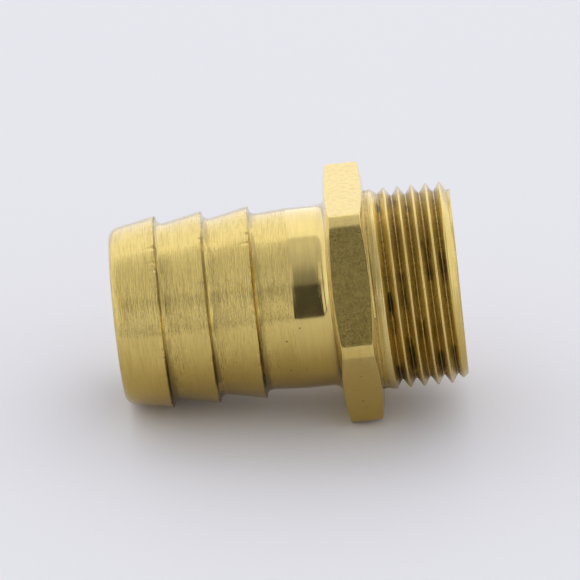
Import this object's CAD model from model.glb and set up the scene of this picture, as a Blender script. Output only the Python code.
import logging
import math
from dataclasses import dataclass, field
from enum import Enum
from typing import Sequence

import bmesh
import bpy
from mathutils import Matrix, Vector, noise


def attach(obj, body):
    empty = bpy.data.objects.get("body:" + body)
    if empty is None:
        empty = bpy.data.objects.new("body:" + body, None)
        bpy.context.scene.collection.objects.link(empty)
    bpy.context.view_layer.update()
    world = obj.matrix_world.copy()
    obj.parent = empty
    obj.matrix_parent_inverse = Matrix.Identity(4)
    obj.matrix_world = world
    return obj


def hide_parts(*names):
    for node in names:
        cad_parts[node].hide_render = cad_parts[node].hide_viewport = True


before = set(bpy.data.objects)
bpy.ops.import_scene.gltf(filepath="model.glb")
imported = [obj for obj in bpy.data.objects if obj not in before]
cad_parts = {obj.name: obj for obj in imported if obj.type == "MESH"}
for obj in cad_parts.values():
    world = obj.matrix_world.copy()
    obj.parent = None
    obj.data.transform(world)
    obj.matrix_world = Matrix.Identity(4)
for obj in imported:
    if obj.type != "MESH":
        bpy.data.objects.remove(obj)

MM = 0.001
WELD = 0.0015 * MM
SLIVER = 0.0005 * MM
log = logging.getLogger("hose_tail")
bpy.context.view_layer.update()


class Zone(Enum):
    """The parts of the fitting's surface that have a finish of their own."""

    BARBS = 0
    STEM = 1
    FLATS = 2
    THREAD = 3
    BORE = 4


@dataclass(frozen=True)
class Corner:
    """A corner of a turned profile, in millimetres."""

    radius: float
    height: float
    setback: float = 0.0
    steps: int = 3


def smooth_least(a: float, b: float, blend: float) -> float:
    """The smaller of two lengths, eased over where they are nearly equal.

    Args:
        a: The first length.
        b: The second length.
        blend: How near they are when the easing starts.

    Returns:
        The eased smaller length.
    """
    share = max(blend - abs(a - b), 0.0) / blend
    return min(a, b) - share * share * blend / 4


def ramp(value: float, low: float, high: float) -> float:
    """A smooth step from 0 at low to 1 at high."""
    share = min(max((value - low) / (high - low), 0.0), 1.0)
    return share * share * (3 - 2 * share)


def on_axis_circle(radius: float, angle: float, height: float) -> tuple[float, float, float]:
    """A point given by its radius, its angle round the axis and its height."""
    return (radius * math.cos(angle), radius * math.sin(angle), height)


def screw_round(bm: bmesh.types.BMesh, columns: int, rise: float) -> None:
    """Sweeps everything in a mesh once round the axis, a sector at a time.

    Args:
        bm: The mesh that holds the profile.
        columns: How many steps make the whole turn.
        rise: How far the whole turn climbs, in millimetres.
    """
    sectors = 12
    bmesh.ops.spin(
        bm,
        geom=bm.verts[:] + bm.edges[:],
        cent=(0, 0, 0),
        axis=(0, 0, 1),
        dvec=(0, 0, rise * MM / columns),
        angle=math.tau / sectors,
        steps=columns // sectors,
    )
    sector = bm.verts[:] + bm.edges[:] + bm.faces[:]
    for turned in range(1, sectors):
        copied = bmesh.ops.duplicate(bm, geom=sector)["geom"]
        verts = [part for part in copied if isinstance(part, bmesh.types.BMVert)]
        turn = Matrix.Rotation(math.tau * turned / sectors, 3, "Z")
        bmesh.ops.rotate(bm, verts=verts, cent=(0, 0, 0), matrix=turn)
        bmesh.ops.translate(bm, verts=verts, vec=(0, 0, rise * MM * turned / sectors))
    bmesh.ops.remove_doubles(bm, verts=bm.verts[:], dist=SLIVER)


def join_into(bm: bmesh.types.BMesh, other: bmesh.types.BMesh) -> None:
    """Adds another mesh to a mesh, and frees the other.

    Args:
        bm: The mesh to add to.
        other: The mesh to add.
    """
    carrier = bpy.data.meshes.new("carrier")
    other.to_mesh(carrier)
    other.free()
    bm.from_mesh(carrier)
    bpy.data.meshes.remove(carrier)


@dataclass
class BarbedSpigot:
    """The end that a soft hose is pushed over: a nose, three barbs and a stem."""

    barbs: int = 3
    pitch: float = 6.08
    crest_radius: float = 12.5
    depth: float = 1.0
    crest_land: float = 0.25
    step_lean: float = 0.2
    foot_land: float = 0.9
    nose_length: float = 6.04
    stem_radius: float = 11.8
    stem_cone: float = 5.2
    stem_length: float = 10.1
    fillet: float = 1.4
    groove_round: float = 0.66
    nose_chamfer: tuple[float, float] = (1.02, 0.55)
    face_inset: float = 1.62
    nick_depth: float = 0.17
    nick_reach: float = 0.5
    nicks_per_mm: float = 1.9
    unevenness: float = 0.02

    @property
    def last_crest(self) -> float:
        """Height of the last crest."""
        return self.nose_length + (self.barbs - 1) * self.pitch

    @property
    def length(self) -> float:
        """Height of the shoulder that the stem meets."""
        return self.last_crest + self.stem_length

    def nick(self, angle: float, height: float) -> float:
        """Depth of the small nicks that handling left in the crests.

        Args:
            angle: Angle round the axis.
            height: Height along the axis.

        Returns:
            How far the edge is pushed in.
        """
        crest = self.nose_length + self.pitch * round((height - self.nose_length) / self.pitch)
        near = 1 - ramp(abs(height - crest), 0.1, self.nick_reach)
        place = Vector(on_axis_circle(self.crest_radius, angle, crest)) * self.nicks_per_mm
        dents = near * self.nick_depth * ramp(noise.noise(place), 0.22, 0.5)
        return dents + near * self.unevenness * noise.noise(place * 0.7)

    def corners(self) -> list[Corner]:
        """The profile from the shoulder down to the end face.

        Returns:
            The corners in order.
        """
        foot = self.crest_radius - self.depth
        found = [
            Corner(self.stem_radius, self.length, self.fillet, 10),
            Corner(self.stem_radius, self.last_crest + self.stem_cone, 0.3, 2),
        ]
        for barb in reversed(range(self.barbs)):
            crest = self.nose_length + barb * self.pitch
            land_end = crest + self.step_lean + self.foot_land
            found += [
                Corner(foot + 0.02, land_end, 0.22, 3),
                Corner(foot, crest + self.step_lean, self.groove_round, 7),
                Corner(self.crest_radius, crest, 0.05, 2),
                Corner(self.crest_radius, crest - self.crest_land, 0.12, 3),
            ]
        inset, height = self.nose_chamfer
        found += [
            Corner(self.crest_radius - inset, height, 0.45, 4),
            Corner(self.crest_radius - self.face_inset, 0.0, 0.16, 4),
        ]
        return found


@dataclass
class SpannerHexagon:
    """The collar that a spanner turns, milled to six flats from a turned ring."""

    foot: float
    flat_radius: float = 15.0
    width: float = 5.0
    corner_cut: float = 0.47
    chamfer_deg: float = 12.0
    chamfer_inset: float = 0.25
    first_flat_deg: float = 0.0
    edge_round: float = 0.14
    face_round: float = 0.12
    least_wear: float = 0.10
    patchy_wear: float = 0.22

    @property
    def top(self) -> float:
        """Height of the face on the thread's side."""
        return self.foot + self.width

    @property
    def corner_radius(self) -> float:
        """Radius of the turned corners."""
        return self.flat_radius / math.cos(math.radians(30)) - self.corner_cut

    @property
    def chamfer_radius(self) -> float:
        """Radius where the chamfers start on the end faces."""
        return self.flat_radius - self.chamfer_inset

    @property
    def chamfer_height(self) -> float:
        """How far the chamfers reach along the axis at the corners."""
        return (self.corner_radius - self.chamfer_radius) * math.tan(math.radians(self.chamfer_deg))

    def corners(self) -> list[Corner]:
        """The turned profile from the thread's side to the stem's side.

        Returns:
            The corners in order.
        """
        rise = self.chamfer_height
        high = self.top - rise
        low = self.foot + rise
        return [
            Corner(self.chamfer_radius, self.top, self.face_round, 2),
            Corner(self.corner_radius, high, self.edge_round, 3),
            Corner(self.corner_radius, low, self.edge_round, 3),
            Corner(self.chamfer_radius, self.foot, self.face_round, 2),
        ]

    def milled(self, radius: float, angle: float, height: float) -> float:
        """Radius left after the six flats are milled.

        Args:
            radius: Radius of the turned ring here.
            angle: Angle round the axis.
            height: Height along the axis.

        Returns:
            The radius on the flat or on the turned ring, with a worn edge between them.
        """
        place = Vector((math.cos(angle) * 9, math.sin(angle) * 9, height * 2.1))
        wear = self.least_wear + self.patchy_wear * ramp(noise.noise(place * 0.9), 0.18, 0.6)
        return smooth_least(radius, self.flat_at(angle), wear)

    def flat_at(self, angle: float) -> float:
        """Distance from the axis to the milled flats in one direction.

        Args:
            angle: Angle round the axis.

        Returns:
            The radius of the six-sided outline there.
        """
        sixth = math.pi / 3
        off = (angle - math.radians(self.first_flat_deg) + sixth / 2) % sixth - sixth / 2
        return self.flat_radius / math.cos(off)


@dataclass
class ThreadedSpigot:
    """The end with a right-hand parallel pipe thread."""

    foot: float
    radius: float = 13.1
    pitch: float = 1.814
    depth: float = 1.161
    length: float = 11.22
    collar: float = 0.65
    end_chamfer: float = 1.2
    end_chamfer_deg: float = 42.0
    start_deg: float = 230.0
    crest_share: float = 0.06
    root_share: float = 0.47
    hollowing: float = 0.85
    relief: float = 0.14
    relief_length: float = 1.5
    chamfer_round: float = 0.08
    least_strip: float = 0.03

    @property
    def foot_radius(self) -> float:
        """Radius of the relieved collar where it meets the hexagon."""
        return self.radius - self.relief

    @property
    def end(self) -> float:
        """Height of the end face."""
        return self.foot + self.length

    @property
    def end_radius(self) -> float:
        """Radius of the chamfer at the end face."""
        return self.radius - self.end_chamfer * math.tan(math.radians(self.end_chamfer_deg))

    def within(self, height: float) -> float:
        """Keeps a height between the hexagon and the end face, and off slivers at either.

        Args:
            height: Height along the axis.

        Returns:
            The height to use.
        """
        if height < self.foot + self.least_strip:
            return self.foot
        return self.end if height > self.end - self.least_strip else height

    def phases(self) -> list[float]:
        """Where the rows of one turn stand, in turns from the middle of a crest."""
        side = [0.045, 0.085, 0.25, 0.43, 0.472]
        return [0.0] + side + [0.5] + [1 - at for at in reversed(side)]

    def turns_from_crest(self, angle: float, height: float) -> float:
        """Distance along the axis from the nearest crest above or below, in turns from 0 to 0.5."""
        groove = (height - self.end) / self.pitch - (angle - math.radians(self.start_deg)) / math.tau
        return abs(groove % 1.0 - 0.5)

    def cut(self, angle: float, height: float) -> float:
        """Radius of the threaded surface.

        Args:
            angle: Angle round the axis.
            height: Height along the axis.

        Returns:
            The radius at that place, with the groove's run-out and the end chamfer.
        """
        off = self.turns_from_crest(angle, height)
        flank = min(max((off - self.crest_share) / (self.root_share - self.crest_share), 0.0), 1.0)
        eased = flank**self.hollowing
        groove_turn = self.groove_turn(angle, height)
        fade = min(max(groove_turn, 0.0), 1.0) * ramp(height, self.foot, self.foot + 0.15)
        relief = self.relief * (1 - ramp(height, self.foot, self.foot + self.relief_length))
        radius = self.radius - self.depth * eased * fade - relief
        cone = self.end_radius + (self.end - height) * math.tan(math.radians(self.end_chamfer_deg))
        return smooth_least(radius, cone, self.chamfer_round)

    def groove_turn(self, angle: float, height: float) -> float:
        """How many turns the groove nearest this place has made since it began.

        Args:
            angle: Angle round the axis.
            height: Height along the axis.

        Returns:
            The number of turns, below 0 where the groove hasn't begun.
        """
        turn = (angle - math.radians(self.start_deg)) / math.tau
        axial = (height - self.end) / self.pitch
        centre = turn + round(axial - turn)
        return (centre * self.pitch + self.end - self.foot - self.collar) / self.pitch


@dataclass
class ThroughBore:
    """The drilled way through, with a broken edge at both mouths."""

    radius: float = 10.0
    edge_break: float = 0.4
    mouth_round: float = 0.06

    def corners(self, end: float) -> list[Corner]:
        """The profile from the barbed end's face to the thread's end face.

        Args:
            end: Height of the thread's end face.

        Returns:
            The corners in order.
        """
        mouth = self.radius + self.edge_break
        return [
            Corner(mouth, 0.0, self.mouth_round, 2),
            Corner(self.radius, self.edge_break, self.mouth_round, 2),
            Corner(self.radius, end / 2),
            Corner(self.radius, end - self.edge_break, self.mouth_round, 2),
            Corner(mouth, end, self.mouth_round, 2),
        ]


@dataclass
class HoseTail:
    """The whole fitting, one piece of brass, built upright and then laid on the table."""

    spigot: BarbedSpigot = field(default_factory=BarbedSpigot)
    bore: ThroughBore = field(default_factory=ThroughBore)
    columns: int = 408
    corner_crowding: float = 0.075
    stem_finish_from: float = 23.0
    tilt_deg: float = 6.3674
    barb_end: tuple[float, float, float] = (-22.0754, 0.0, 11.763)

    def __post_init__(self) -> None:
        """Stacks the hexagon and the thread on the barbed end."""
        self.hexagon = SpannerHexagon(foot=self.spigot.length)
        self.thread = ThreadedSpigot(foot=self.hexagon.top)

    def placing(self) -> Matrix:
        """The move from the upright axis to the place on the table, in metres."""
        turn = Matrix.Rotation(math.radians(90 - self.tilt_deg), 4, "Y")
        return Matrix.Translation(Vector(self.barb_end) * MM) @ turn

    def build(self) -> bpy.types.Object:
        """Builds and dresses the fitting.

        Returns:
            The finished object, which stands for the frame's node.
        """
        bm = bmesh.new()
        self.turn_body(bm)
        self.shape(bm)
        threads = bmesh.new()
        self.chase_thread(threads)
        join_into(bm, threads)
        bmesh.ops.remove_doubles(bm, verts=bm.verts[:], dist=WELD)
        bmesh.ops.dissolve_degenerate(bm, edges=bm.edges[:], dist=SLIVER)
        bmesh.ops.recalc_face_normals(bm, faces=bm.faces[:])
        self.mark_zones(bm)
        for face in bm.faces:
            face.smooth = True
        bmesh.ops.transform(bm, matrix=self.placing(), verts=bm.verts[:])
        mesh = bpy.data.meshes.new("brass_body")
        bm.to_mesh(mesh)
        bm.free()
        body = bpy.data.objects.new("brass_body", mesh)
        bpy.context.scene.collection.objects.link(body)
        return body

    def turn_body(self, bm: bmesh.types.BMesh) -> None:
        """Turns everything but the threaded surface from one open profile.

        Args:
            bm: The mesh to add to.
        """
        corners = [Corner(self.thread.foot_radius, self.hexagon.top), *self.hexagon.corners()]
        corners += [*self.spigot.corners(), *self.bore.corners(self.thread.end)]
        corners.append(Corner(self.thread.end_radius, self.thread.end))
        verts = [bm.verts.new((c.radius * MM, 0, c.height * MM)) for c in corners]
        for pair in zip(verts, verts[1:]):
            bm.edges.new(pair)
        for vert, corner in zip(verts, corners):
            if corner.setback:
                bmesh.ops.bevel(
                    bm,
                    geom=[vert],
                    offset=corner.setback * MM,
                    offset_type="OFFSET",
                    segments=corner.steps,
                    profile=0.5,
                    affect="VERTICES",
                    material=-1,
                )
        self.add_rows(bm)
        screw_round(bm, self.columns, 0.0)

    def add_rows(self, bm: bmesh.types.BMesh) -> None:
        """Divides the long runs of the profile where the flats and their chamfers will cross them.

        Args:
            bm: The mesh that holds the profile.
        """
        for edge in bm.edges[:]:
            middle = (edge.verts[0].co + edge.verts[1].co) / 2 / MM
            length = edge.calc_length() / MM
            on_collar = middle.x > self.hexagon.chamfer_radius
            if on_collar and length > 1.0:
                chamfer = abs(edge.verts[0].co.x - edge.verts[1].co.x) > 0.5 * MM
                bmesh.ops.subdivide_edges(bm, edges=[edge], cuts=13 if chamfer else 9)
            elif middle.x > self.spigot.stem_radius - 1.5 and length > 1.5:
                bmesh.ops.subdivide_edges(bm, edges=[edge], cuts=math.ceil(length / 1.2))

    def chase_thread(self, bm: bmesh.types.BMesh) -> None:
        """Adds the threaded surface as one screw of a straight run, its rows along the turns.

        Args:
            bm: The mesh to add to.
        """
        thread = self.thread
        crest = thread.end + (0.5 - thread.start_deg / 360) * thread.pitch
        first = math.floor((thread.foot - crest) / thread.pitch) - 1
        last = math.ceil((thread.end - crest) / thread.pitch) + 1
        heights = [
            crest + (turn + phase) * thread.pitch
            for turn in range(first, last)
            for phase in thread.phases()
        ]
        verts = [bm.verts.new((thread.radius * MM, 0, height * MM)) for height in heights]
        for pair in zip(verts, verts[1:]):
            bm.edges.new(pair)
        screw_round(bm, self.columns, thread.pitch)
        for vert in bm.verts:
            angle = math.atan2(vert.co.y, vert.co.x)
            eased = self.eased_angle(angle)
            climb = thread.pitch * (eased - angle) / math.tau
            height = thread.within(vert.co.z / MM + climb)
            vert.co = Vector(on_axis_circle(thread.cut(eased, height), eased, height)) * MM
        bmesh.ops.remove_doubles(bm, verts=bm.verts[:], dist=WELD)

    def eased_angle(self, angle: float) -> float:
        """Draws the columns together at the hexagon's corners, where the small edges are."""
        corner = math.radians(self.hexagon.first_flat_deg + 30)
        return angle - self.corner_crowding * math.sin(6 * (angle - corner))

    def shape(self, bm: bmesh.types.BMesh) -> None:
        """Mills the flats and trims the end face to the thread by setting each vertex's radius.

        Args:
            bm: The turned body.
        """
        hexagon, thread = self.hexagon, self.thread
        for vert in bm.verts:
            x, y, height = vert.co / MM
            radius = math.hypot(x, y)
            angle = self.eased_angle(math.atan2(y, x))
            if radius > hexagon.chamfer_radius - 0.4:
                radius = hexagon.milled(radius, angle, height)
            elif height > thread.end - 0.001 and radius > thread.end_radius - 0.001:
                radius = thread.cut(angle, thread.end)
            elif radius > self.spigot.crest_radius - 0.3:
                radius -= self.spigot.nick(angle, height)
            vert.co = Vector(on_axis_circle(radius, angle, height)) * MM

    def mark_zones(self, bm: bmesh.types.BMesh) -> None:
        """Gives each face the finish of its zone.

        Args:
            bm: The mesh to mark.
        """
        for face in bm.faces:
            centre = face.calc_center_median() / MM
            radius = math.hypot(centre.x, centre.y)
            if radius < self.bore.radius + 0.3:
                zone = Zone.BORE
            elif centre.z < self.stem_finish_from:
                zone = Zone.BARBS
            elif centre.z < self.hexagon.foot:
                zone = Zone.STEM
            elif centre.z < self.hexagon.top:
                zone = Zone.FLATS
            else:
                zone = Zone.THREAD
            face.material_index = zone.value
        self.map_lathe(bm)

    def map_lathe(self, bm: bmesh.types.BMesh) -> None:
        """Writes the map round and along the axis, and how hollow or exposed each place is.

        Args:
            bm: The mesh to mark.
        """
        lathe = bm.loops.layers.uv.new("lathe")
        hollow = bm.verts.layers.float.new("hollow")
        edge = bm.verts.layers.float.new("edge")
        for vert in bm.verts:
            x, y, height = vert.co / MM
            vert[hollow], vert[edge] = self.exposure(math.hypot(x, y), math.atan2(y, x), height)
        for face in bm.faces:
            middle = face.calc_center_median()
            around = math.atan2(middle.y, middle.x)
            for loop in face.loops:
                place = loop.vert.co / MM
                angle = math.atan2(place.y, place.x)
                angle += math.tau * round((around - angle) / math.tau)
                loop[lathe].uv = (place.z / 50, angle / math.tau)

    def exposure(self, radius: float, angle: float, height: float) -> tuple[float, float]:
        """How hollow and how exposed a place is.

        Args:
            radius: Radius of the place.
            angle: Angle round the axis.
            height: Height along the axis.

        Returns:
            Two shares from 0 to 1: for a hollow that holds grime, and for an edge that rubs bright.
        """
        spigot, hexagon, thread = self.spigot, self.hexagon, self.thread
        if radius < self.bore.radius + 0.6:
            return 0.0, 0.0
        if height > hexagon.top:
            depth = (thread.radius - radius) / thread.depth
            collar = 1 - ramp(height, hexagon.top + 0.05, hexagon.top + 0.5)
            chamfer = thread.end - thread.end_chamfer
            flanks = ramp(depth, 0.25, 0.85) * (1 - ramp(height, chamfer, chamfer + 0.2))
            rubbed_root = 0.35 * ramp(depth, 0.93, 1.0)
            return max(flanks * (1 - rubbed_root), collar * 0.85), ramp(depth, 0.12, 0.0) * (1 - collar)
        if height > hexagon.foot - 0.05:
            short_of_flat = hexagon.flat_at(angle) - radius
            inside = min(abs(height - hexagon.foot), abs(hexagon.top - height))
            on_edge = inside > 0.8 and short_of_flat > 0.02
            return 0.0, (1 - ramp(short_of_flat, 0.0, 0.12) if on_edge else 0.0)
        shoulder = 0.7 * (1 - ramp(abs(height - hexagon.foot), 0.0, 0.5))
        found = (shoulder if radius < spigot.stem_radius + 1.6 else 0.0), 0.0
        pooled = 0.6 + 0.4 * ramp(math.cos(angle), -0.1, 0.6)
        for barb in range(spigot.barbs):
            crest = spigot.nose_length + barb * spigot.pitch
            past = height - crest
            if -0.12 < past < 1.3:
                faded = 0.45 * ramp(past, 0.12, 0.32) + 0.55 * ramp(past, 0.6, 1.25)
                found = pooled * (1 - faded), 0.0
        return found


@dataclass
class NodeSheet:
    """A small helper that lays shader nodes from left to right and links them."""

    tree: bpy.types.NodeTree

    def add(self, kind: str, **settings: object) -> bpy.types.Node:
        """Adds one node and sets its properties.

        Args:
            kind: The node's type name.
            **settings: Values for the node's properties.

        Returns:
            The new node.
        """
        node = self.tree.nodes.new(kind)
        for name, value in settings.items():
            setattr(node, name, value)
        node.location = (len(self.tree.nodes) * 180, 0)
        return node

    def join(self, source: bpy.types.NodeSocket, target: bpy.types.NodeSocket) -> None:
        """Links an output to an input."""
        self.tree.links.new(source, target)

    def work(self, operation: str, *values: object) -> bpy.types.NodeSocket:
        """Adds a math node.

        Args:
            operation: What the node works out.
            *values: Each a number or an output.

        Returns:
            The result.
        """
        node = self.add("ShaderNodeMath", operation=operation)
        for socket, value in zip(node.inputs, values):
            self.feed(socket, value)
        return node.outputs[0]

    def feed(self, socket: bpy.types.NodeSocket, value: object) -> None:
        """Sets an input to a number or colour, or links an output to it.

        Args:
            socket: The input.
            value: A number, a colour or an output.
        """
        if isinstance(value, bpy.types.NodeSocket):
            self.join(value, socket)
        else:
            socket.default_value = value

    def spread(self, value: bpy.types.NodeSocket, low: float, high: float) -> bpy.types.NodeSocket:
        """Maps low to 0 and high to 1, held inside that range.

        Args:
            value: The output to map.
            low: What becomes 0.
            high: What becomes 1.

        Returns:
            The mapped share.
        """
        node = self.add("ShaderNodeMapRange", clamp=True, interpolation_type="SMOOTHSTEP")
        self.join(value, node.inputs["Value"])
        node.inputs["From Min"].default_value = low
        node.inputs["From Max"].default_value = high
        return node.outputs["Result"]

    def blend(self, share: object, first: object, second: object) -> bpy.types.NodeSocket:
        """Mixes two colours by a share.

        Args:
            share: How much of the second, a number or an output.
            first: The first colour.
            second: The second colour.

        Returns:
            The mixed colour.
        """
        node = self.add("ShaderNodeMix", data_type="RGBA", blend_type="MIX")
        self.feed(node.inputs["Factor"], share)
        self.feed(node.inputs["A"], first)
        self.feed(node.inputs["B"], second)
        return node.outputs["Result"]


@dataclass(frozen=True)
class UprightSpace:
    """Where the turning axis lies, so that a pattern can follow the lathe."""

    start: tuple[float, float, float]
    tilt_deg: float

    def vector(self, sheet: NodeSheet) -> bpy.types.NodeSocket:
        """Adds nodes that turn the object's coordinates upright, the axis on Z, in millimetres.

        Args:
            sheet: The tree to add to.

        Returns:
            The upright position.
        """
        place = sheet.add("ShaderNodeTexCoord")
        turn = sheet.add("ShaderNodeMapping", vector_type="TEXTURE")
        turn.inputs["Location"].default_value = Vector(self.start) * MM
        turn.inputs["Rotation"].default_value = (0, math.radians(90 - self.tilt_deg), 0)
        sheet.join(place.outputs["Object"], turn.inputs["Vector"])
        grow = sheet.add("ShaderNodeVectorMath", operation="SCALE")
        grow.inputs["Scale"].default_value = 1 / MM
        sheet.join(turn.outputs["Vector"], grow.inputs[0])
        return grow.outputs["Vector"]


@dataclass(frozen=True)
class MarkGroups:
    """The shared effects: lathe marks, mottling, tarnish and pits.

    Each mark layer is its fineness and its share of the whole.  Each cloud is its name, the input
    that sets its size, its detail and the noise that becomes 0 and 1.  Lengths are in millimetres,
    and downward is the upright X.
    """

    space: UprightSpace
    mark_layers: tuple[tuple[float, float], ...] = ((1.0, 0.6), (2.3, 0.3), (0.3, 0.25))
    mark_tone: tuple[float, float] = (0.62, 0.46)
    clouds: tuple[tuple[str, str, float, float, float], ...] = (
        ("Patches", "Size", 4.0, 0.38, 0.66),
        ("Dust", "Grain", 3.0, 0.42, 0.62),
    )
    grime_stretch: tuple[float, float, float] = (0.17, 0.17, 1.15)
    grime_downward: tuple[float, float] = (-6.0, 13.0)
    grime_pull: float = 0.10
    grime_edge: float = 0.07
    brown_downward: tuple[float, float] = (-3.0, 8.0)
    brown_drift: float = 6.0
    pit_size: float = 0.03
    pit_size_spread: float = 0.07

    def start_group(
        self, name: str, inputs: dict[str, float], outputs: Sequence[str]
    ) -> tuple[NodeSheet, bpy.types.Node, bpy.types.Node]:
        """Makes an empty group with float inputs and outputs.

        Args:
            name: The group's name.
            inputs: Each input with its usual value.
            outputs: The outputs.

        Returns:
            The sheet to draw on, the input node and the output node.
        """
        tree = bpy.data.node_groups.new(name, "ShaderNodeTree")
        for label, value in inputs.items():
            socket = tree.interface.new_socket(label, in_out="INPUT", socket_type="NodeSocketFloat")
            socket.default_value = value
        for label in outputs:
            tree.interface.new_socket(label, in_out="OUTPUT", socket_type="NodeSocketFloat")
        sheet = NodeSheet(tree)
        return sheet, sheet.add("NodeGroupInput"), sheet.add("NodeGroupOutput")

    def turning_marks(self) -> bpy.types.NodeTree:
        """Marks that run round the axis, finer or coarser, as a cutting tool leaves them.

        Returns:
            The group, with the marks' height and tone.
        """
        inputs = {"Fine": 4.0, "Around": 0.3}
        sheet, given, made = self.start_group("turning_marks", inputs, ["Height", "Tone"])
        where = self.space.vector(sheet)
        apart = sheet.add("ShaderNodeSeparateXYZ")
        sheet.join(where, apart.inputs[0])
        heights = []
        for step, share in self.mark_layers:
            fine = sheet.work("MULTIPLY", given.outputs["Fine"], step)
            around = sheet.work("MULTIPLY", given.outputs["Around"], step)
            packed = sheet.add("ShaderNodeCombineXYZ")
            sheet.join(sheet.work("MULTIPLY", apart.outputs["X"], around), packed.inputs["X"])
            sheet.join(sheet.work("MULTIPLY", apart.outputs["Y"], around), packed.inputs["Y"])
            sheet.join(sheet.work("MULTIPLY", apart.outputs["Z"], fine), packed.inputs["Z"])
            grain = sheet.add("ShaderNodeTexNoise")
            grain.inputs["Scale"].default_value = 1.0
            grain.inputs["Detail"].default_value = 2.0
            sheet.join(packed.outputs[0], grain.inputs["Vector"])
            heights.append(sheet.work("MULTIPLY", grain.outputs["Fac"], share))
        total = sheet.work("ADD", sheet.work("ADD", heights[0], heights[1]), heights[2])
        sheet.join(total, made.inputs["Height"])
        sheet.join(sheet.spread(total, *self.mark_tone), made.inputs["Tone"])
        return sheet.tree

    def mottling(self) -> bpy.types.NodeTree:
        """Soft patches of duller metal.

        Returns:
            The group, with broad patches and fine dust as masks.
        """
        inputs = {"Size": 2.0, "Grain": 8.0}
        sheet, given, made = self.start_group("mottling", inputs, ["Patches", "Dust"])
        where = self.space.vector(sheet)
        for label, size, detail, low, high in self.clouds:
            cloud = sheet.add("ShaderNodeTexNoise")
            cloud.inputs["Detail"].default_value = detail
            cloud.inputs["Roughness"].default_value = 0.6
            sheet.join(where, cloud.inputs["Vector"])
            sheet.join(sheet.work("DIVIDE", 1.0, given.outputs[size]), cloud.inputs["Scale"])
            sheet.join(sheet.spread(cloud.outputs["Fac"], low, high), made.inputs[label])
        return sheet.tree

    def tarnish(self) -> bpy.types.NodeTree:
        """Where grime gathers in the hollows, and how brown the underside has gone.

        Returns:
            The group, with both as masks.
        """
        inputs = {"Hollow": 0.0, "Gather": 0.5}
        sheet, given, made = self.start_group("tarnish", inputs, ["Grime", "Underside"])
        where = self.space.vector(sheet)
        apart = sheet.add("ShaderNodeSeparateXYZ")
        sheet.join(where, apart.inputs[0])
        stretch = sheet.add("ShaderNodeVectorMath", operation="MULTIPLY")
        stretch.inputs[1].default_value = self.grime_stretch
        sheet.join(where, stretch.inputs[0])
        cloud = sheet.add("ShaderNodeTexNoise")
        cloud.inputs["Scale"].default_value = 1.0
        cloud.inputs["Detail"].default_value = 3.0
        sheet.join(stretch.outputs[0], cloud.inputs["Vector"])
        low = sheet.spread(apart.outputs["X"], *self.grime_downward)
        pooled = sheet.work("MULTIPLY_ADD", low, self.grime_pull, cloud.outputs["Fac"])
        over = sheet.work("SUBTRACT", pooled, given.outputs["Gather"])
        patch = sheet.spread(over, 0.0, self.grime_edge)
        sheet.join(sheet.work("MULTIPLY", patch, given.outputs["Hollow"]), made.inputs["Grime"])
        drifted = sheet.work("MULTIPLY_ADD", cloud.outputs["Fac"], self.brown_drift, apart.outputs["X"])
        sheet.join(sheet.spread(drifted, *self.brown_downward), made.inputs["Underside"])
        return sheet.tree

    def pits(self) -> bpy.types.NodeTree:
        """Small dark pits, few and scattered.

        Returns:
            The group, with the pits as a mask.
        """
        sheet, given, made = self.start_group("pits", {"Spacing": 1.5, "Share": 0.2}, ["Mask"])
        where = self.space.vector(sheet)
        cells = sheet.add("ShaderNodeTexVoronoi", feature="F1")
        sheet.join(where, cells.inputs["Vector"])
        sheet.join(sheet.work("DIVIDE", 1.0, given.outputs["Spacing"]), cells.inputs["Scale"])
        chosen = sheet.add("ShaderNodeSeparateColor")
        sheet.join(cells.outputs["Color"], chosen.inputs[0])
        picked = sheet.work("LESS_THAN", chosen.outputs[0], given.outputs["Share"])
        size = sheet.work("MULTIPLY_ADD", chosen.outputs[1], self.pit_size_spread, self.pit_size)
        spot = sheet.work("LESS_THAN", cells.outputs["Distance"], size)
        sheet.join(sheet.work("MULTIPLY", picked, spot), made.inputs["Mask"])
        return sheet.tree


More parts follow.
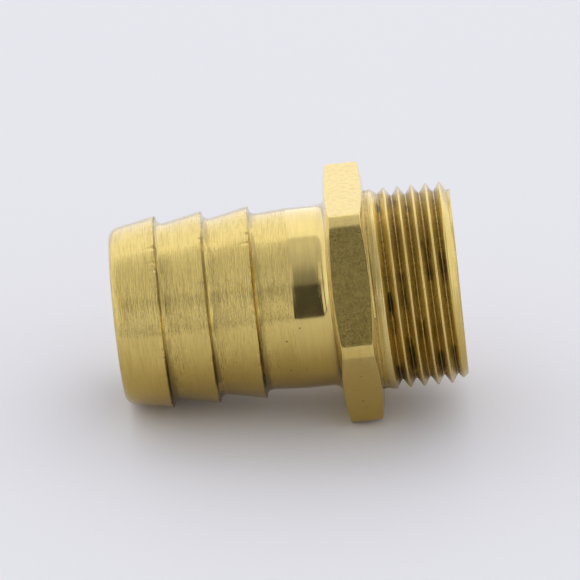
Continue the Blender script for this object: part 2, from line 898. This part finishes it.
@dataclass(frozen=True)
class BrassFinish:
    """A brass surface: its colour, its gloss and the marks that the tools left.

    Lengths are in millimetres.  Marks are counted per millimetre along and round the axis.  Shares
    run from 0 to 1.
    """

    name: str
    colour: tuple[float, float, float] = (0.72, 0.555, 0.17)
    dull: tuple[float, float, float] = (0.60, 0.435, 0.115)
    hollow: tuple[float, float, float] = (0.38, 0.23, 0.05)
    roughness: float = 0.28
    rough_spread: float = 0.10
    fine: float = 4.0
    around: float = 0.3
    mark_depth: float = 0.006
    mark_tone: float = 0.35
    patch_size: float = 3.0
    patch_share: float = 0.4
    grain_size: float = 0.35
    grain_depth: float = 0.0
    pit_spacing: float = 1.6
    pit_share: float = 0.12
    hollow_share: float = 0.45
    gather: float = 0.56
    stain_power: float = 1.0
    under: tuple[float, float, float] = (0.46, 0.31, 0.07)
    under_share: float = 0.72
    directional: float = 0.0
    lacquer: float = 0.6
    lacquer_roughness: float = 0.12
    rubbed: tuple[float, float, float] = (0.85, 0.70, 0.34)
    rubbed_share: float = 0.3
    grime: tuple[float, float, float] = (0.05, 0.038, 0.013)
    grime_share: float = 0.92
    pit: tuple[float, float, float] = (0.10, 0.06, 0.02)
    pit_depth: float = 0.03
    streak_shade: float = 0.62
    hollow_roughness: float = 0.12

    def material(self, groups: dict[str, bpy.types.NodeTree]) -> bpy.types.Material:
        """Builds the material.

        Args:
            groups: The shared effects by name.

        Returns:
            The finished material.
        """
        made = bpy.data.materials.new(self.name)
        made.use_nodes = True
        sheet = NodeSheet(made.node_tree)
        shader = made.node_tree.nodes["Principled BSDF"]
        shader.inputs["Metallic"].default_value = 1.0
        shader.inputs["Anisotropic"].default_value = self.directional
        shader.inputs["Coat Roughness"].default_value = self.lacquer_roughness
        marks = self.place(sheet, groups["turning_marks"], Fine=self.fine, Around=self.around)
        cloud = self.place(sheet, groups["mottling"], Size=self.patch_size, Grain=self.grain_size)
        spots = self.place(sheet, groups["pits"], Spacing=self.pit_spacing, Share=self.pit_share)
        old = self.place(sheet, groups["tarnish"], Gather=self.gather)
        hollow = sheet.add("ShaderNodeAttribute", attribute_name="hollow").outputs["Fac"]
        sheet.join(hollow, old.inputs["Hollow"])
        bare = sheet.work("SUBTRACT", 1.0, old.outputs["Underside"])
        sheet.join(sheet.work("MULTIPLY", bare, self.lacquer), shader.inputs["Coat Weight"])
        metal = self.clean_metal(sheet, cloud, marks)
        aged = self.aged_metal(sheet, metal, hollow, cloud, old)
        colour = sheet.blend(spots.outputs["Mask"], aged, (*self.pit, 1))
        sheet.join(colour, shader.inputs["Base Color"])
        gloss = sheet.work("MULTIPLY_ADD", cloud.outputs["Patches"], self.rough_spread, self.roughness)
        gloss = sheet.work("MULTIPLY_ADD", hollow, self.hollow_roughness, gloss)
        sheet.join(gloss, shader.inputs["Roughness"])
        relief = sheet.work("MULTIPLY", marks.outputs["Height"], self.mark_depth * MM)
        relief = sheet.work("MULTIPLY_ADD", cloud.outputs["Dust"], self.grain_depth * MM, relief)
        relief = sheet.work("MULTIPLY_ADD", spots.outputs["Mask"], -self.pit_depth * MM, relief)
        bump = sheet.add("ShaderNodeBump")
        bump.inputs["Distance"].default_value = 1.0
        sheet.join(relief, bump.inputs["Height"])
        sheet.join(bump.outputs["Normal"], shader.inputs["Normal"])
        if self.directional:
            along = sheet.add("ShaderNodeTangent", direction_type="UV_MAP", uv_map="lathe")
            sheet.join(along.outputs["Tangent"], shader.inputs["Tangent"])
        return made

    def clean_metal(
        self, sheet: NodeSheet, cloud: bpy.types.Node, marks: bpy.types.Node
    ) -> bpy.types.NodeSocket:
        """Brass with duller patches and the tool's darker streaks.

        Args:
            sheet: The tree to add to.
            cloud: The placed mottling.
            marks: The placed turning marks.

        Returns:
            The colour.
        """
        patch = sheet.work("MULTIPLY", cloud.outputs["Patches"], self.patch_share)
        streak = sheet.work("MULTIPLY", marks.outputs["Tone"], self.mark_tone)
        shaded = (*[part * self.streak_shade for part in self.dull], 1)
        return sheet.blend(streak, sheet.blend(patch, (*self.colour, 1), (*self.dull, 1)), shaded)

    def aged_metal(
        self,
        sheet: NodeSheet,
        colour: bpy.types.NodeSocket,
        hollow: bpy.types.NodeSocket,
        cloud: bpy.types.Node,
        old: bpy.types.Node,
    ) -> bpy.types.NodeSocket:
        """Stains the hollows, browns the underside, rubs the edges bright and adds the grime.

        Args:
            sheet: The tree to add to.
            colour: The clean metal.
            hollow: How hollow each place is.
            cloud: The placed mottling.
            old: The placed tarnish.

        Returns:
            The colour.
        """
        edge = sheet.add("ShaderNodeAttribute", attribute_name="edge").outputs["Fac"]
        dusty = sheet.work("MULTIPLY_ADD", cloud.outputs["Dust"], 0.5, 0.5)
        stain = sheet.work("MULTIPLY", dusty, sheet.work("POWER", hollow, self.stain_power))
        stain = sheet.work("MULTIPLY", stain, self.hollow_share)
        brown = sheet.work("MULTIPLY", old.outputs["Underside"], self.under_share)
        rubbed = sheet.work("MULTIPLY", edge, self.rubbed_share)
        grime = sheet.work("MULTIPLY", old.outputs["Grime"], self.grime_share)
        coats = ((stain, self.hollow), (brown, self.under), (rubbed, self.rubbed), (grime, self.grime))
        for share, tint in coats:
            colour = sheet.blend(share, colour, (*tint, 1))
        return colour

    def place(self, sheet: NodeSheet, group: bpy.types.NodeTree, **values: float) -> bpy.types.Node:
        """Places a shared effect with this finish's own values.

        Args:
            sheet: The tree to add to.
            group: The shared effect.
            **values: A number for each input that isn't linked.

        Returns:
            The placed node.
        """
        node = sheet.add("ShaderNodeGroup", node_tree=group)
        for label, value in values.items():
            node.inputs[label].default_value = value
        return node


FINISHES = {
    Zone.BARBS: BrassFinish(
        "turned_brass",
        hollow=(0.11, 0.065, 0.018),
        roughness=0.12,
        rough_spread=0.03,
        fine=6.0,
        around=0.4,
        mark_depth=0.15,
        mark_tone=0.34,
        patch_share=0.2,
        directional=0.6,
        hollow_share=0.9,
        stain_power=4.0,
        gather=0.48,
    ),
    Zone.STEM: BrassFinish(
        "burnished_brass",
        roughness=0.09,
        rough_spread=0.04,
        fine=2.8,
        around=0.22,
        mark_depth=0.012,
        mark_tone=0.16,
        patch_share=0.2,
        lacquer=1.0,
    ),
    Zone.FLATS: BrassFinish(
        "drawn_brass",
        roughness=0.19,
        rough_spread=0.04,
        fine=1.6,
        around=1.6,
        mark_depth=0.0006,
        mark_tone=0.16,
        patch_size=0.6,
        patch_share=0.3,
        grain_size=0.25,
        grain_depth=0.004,
        pit_share=0.25,
        lacquer=1.0,
    ),
    Zone.THREAD: BrassFinish(
        "chased_brass",
        hollow=(0.16, 0.085, 0.014),
        roughness=0.24,
        fine=3.0,
        around=0.10,
        mark_depth=0.09,
        mark_tone=0.6,
        patch_share=0.3,
        gather=0.555,
        hollow_share=0.9,
    ),
    Zone.BORE: BrassFinish(
        "drilled_brass",
        roughness=0.34,
        rough_spread=0.02,
        fine=4.0,
        around=0.1,
        mark_depth=0.012,
        mark_tone=0.4,
        patch_share=0.15,
        directional=0.5,
        lacquer=0.0,
    ),
}


@dataclass
class Studio:
    """A pale floor, the grey room that lights it and the camera.

    The room has no lamps.  Its brightness is given in steps over the top, from the front horizon
    at 0 degrees to the back horizon at 180: for the walls, and for a dark screen in front that the
    bright metal shows.  Places in the room are the X of a direction of length 1.
    """

    lens: float = 365.0
    distance: float = 764.0
    elevation_deg: float = 27.05
    azimuth_deg: float = -1.2
    roll_deg: float = 0.2
    target: tuple[float, float, float] = (0.24, 0.5, 15.24)
    floor_half: float = 3.0
    floor_colour: tuple[float, float, float] = (0.88, 0.88, 0.905)
    walls: tuple[tuple[float, float], ...] = (
        (0, 0.30),
        (1.5, 0.34),
        (4, 0.92),
        (24, 0.86),
        (34, 0.66),
        (39, 0.55),
        (44, 0.58),
        (48, 0.80),
        (66, 0.74),
        (72, 0.62),
        (90, 0.68),
        (108, 0.84),
        (111, 1.22),
        (180, 1.22),
    )
    screen: tuple[tuple[float, float], ...] = (
        (0, 0.06),
        (40, 0.07),
        (43, 0.22),
        (56, 0.32),
        (72, 0.60),
        (90, 0.78),
        (108, 0.84),
        (111, 1.32),
        (180, 1.32),
    )
    screen_at: float = -0.06
    screen_half: float = 0.11
    gap_at: float = -0.58
    gap_half: float = 0.035
    gap_top: tuple[float, float] = (0.36, 0.38)
    gap_level: float = 0.15
    soft_edge: float = 0.03
    sides_from: tuple[float, float] = (0.6, 0.9)
    sides: tuple[float, float, float] = (1.1, 1.1, 1.13)
    coolness: float = 1.05

    def build(self) -> None:
        """Sets the whole stage."""
        self.lay_floor()
        self.light_room()
        self.place_camera()

    def lay_floor(self) -> None:
        """Lays the floor under the fitting."""
        bm = bmesh.new()
        bmesh.ops.create_grid(bm, x_segments=1, y_segments=1, size=self.floor_half)
        mesh = bpy.data.meshes.new("floor")
        bm.to_mesh(mesh)
        bm.free()
        floor = bpy.data.objects.new("floor", mesh)
        bpy.context.scene.collection.objects.link(floor)
        paper = bpy.data.materials.new("pale_floor")
        paper.use_nodes = True
        shader = paper.node_tree.nodes["Principled BSDF"]
        shader.inputs["Base Color"].default_value = (*self.floor_colour, 1)
        shader.inputs["Roughness"].default_value = 0.8
        mesh.materials.append(paper)

    def light_room(self) -> None:
        """Sets the room's light: a bright wall behind, a mild ceiling and a dim side in front."""
        world = bpy.data.worlds.new("room")
        bpy.context.scene.world = world
        world.use_nodes = True
        sheet = NodeSheet(world.node_tree)
        background = world.node_tree.nodes["Background"]
        where = sheet.add("ShaderNodeTexCoord")
        apart = sheet.add("ShaderNodeSeparateXYZ")
        sheet.join(where.outputs["Generated"], apart.inputs[0])
        across = apart.outputs["X"]
        frontward = sheet.work("MULTIPLY", apart.outputs["Y"], -1.0)
        share = sheet.work("DIVIDE", sheet.work("ARCTAN2", apart.outputs["Z"], frontward), math.pi)
        walls = self.ladder(sheet, share, self.walls)
        screen = self.ladder(sheet, share, self.screen)
        off_screen = self.beside(sheet, across, self.screen_at, self.screen_half)
        light = sheet.blend(off_screen, screen, walls)
        sideways = sheet.spread(sheet.work("ABSOLUTE", across), *self.sides_from)
        light = sheet.blend(sideways, light, (*self.sides, 1))
        off_gap = self.beside(sheet, across, self.gap_at, self.gap_half)
        in_gap = sheet.work("SUBTRACT", 1.0, off_gap)
        low = sheet.work("SUBTRACT", 1.0, sheet.spread(share, *self.gap_top))
        gap = sheet.work("MULTIPLY", in_gap, low)
        light = sheet.blend(gap, light, (self.gap_level, self.gap_level, self.gap_level, 1))
        sheet.join(light, background.inputs["Color"])
        background.inputs["Strength"].default_value = 1.0

    def beside(
        self, sheet: NodeSheet, across: bpy.types.NodeSocket, middle: float, half: float
    ) -> bpy.types.NodeSocket:
        """Whether a direction passes to the side of an upright strip.

        Args:
            sheet: The tree to add to.
            across: The direction's X.
            middle: The strip's middle.
            half: Half the strip's width.

        Returns:
            0 on the strip and 1 beside it, with a soft edge.
        """
        off = sheet.work("ABSOLUTE", sheet.work("SUBTRACT", across, middle))
        return sheet.spread(off, half, half + self.soft_edge)

    def ladder(
        self, sheet: NodeSheet, share: bpy.types.NodeSocket, rungs: Sequence[tuple[float, float]]
    ) -> bpy.types.NodeSocket:
        """Brightness of the room from the front horizon, over the top, to the back horizon.

        Args:
            sheet: The tree to add to.
            share: How far round the direction is, from 0 to 1.
            rungs: Each angle in degrees with its brightness.

        Returns:
            The colour in that direction.
        """
        ramp_node = sheet.add("ShaderNodeValToRGB")
        steps = ramp_node.color_ramp.elements
        while len(steps) < len(rungs):
            steps.new(0.5)
        for step, (degrees, level) in zip(steps, rungs):
            step.position = degrees / 180
            step.color = (level, level, level * self.coolness, 1)
        sheet.join(share, ramp_node.inputs["Fac"])
        return ramp_node.outputs["Color"]

    def place_camera(self) -> None:
        """Places the camera and makes it the scene's."""
        azimuth, elevation = math.radians(self.azimuth_deg), math.radians(self.elevation_deg)
        level = math.cos(elevation)
        back = Vector((math.sin(azimuth) * level, -math.cos(azimuth) * level, math.sin(elevation)))
        data = bpy.data.cameras.new("camera")
        data.lens = self.lens
        data.sensor_width = 36.0
        data.clip_start, data.clip_end = 0.05, 20.0
        camera = bpy.data.objects.new("camera", data)
        camera.rotation_mode = "QUATERNION"
        camera.location = (Vector(self.target) + back * self.distance) * MM
        roll = Matrix.Rotation(math.radians(self.roll_deg), 3, "Z").to_quaternion()
        camera.rotation_quaternion = (-back).to_track_quat("-Z", "Y") @ roll
        bpy.context.scene.collection.objects.link(camera)
        bpy.context.scene.camera = camera


def main() -> None:
    """Builds the fitting and its stage, and reports each piece."""
    logging.basicConfig(level=logging.INFO, format="%(name)s: %(message)s")
    bpy.context.scene.view_settings.view_transform = "Standard"
    tail = HoseTail()
    body = tail.build()
    space = UprightSpace(tail.barb_end, tail.tilt_deg)
    makers = MarkGroups(space)
    trees = (makers.turning_marks(), makers.mottling(), makers.tarnish(), makers.pits())
    groups = {tree.name: tree for tree in trees}
    for zone in Zone:
        body.data.materials.append(FINISHES[zone].material(groups))
    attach(body, "root")
    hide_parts("hose_tail")
    log.info("%s: %d faces", body.name, len(body.data.polygons))
    Studio().build()


if __name__ == "__main__":
    main()
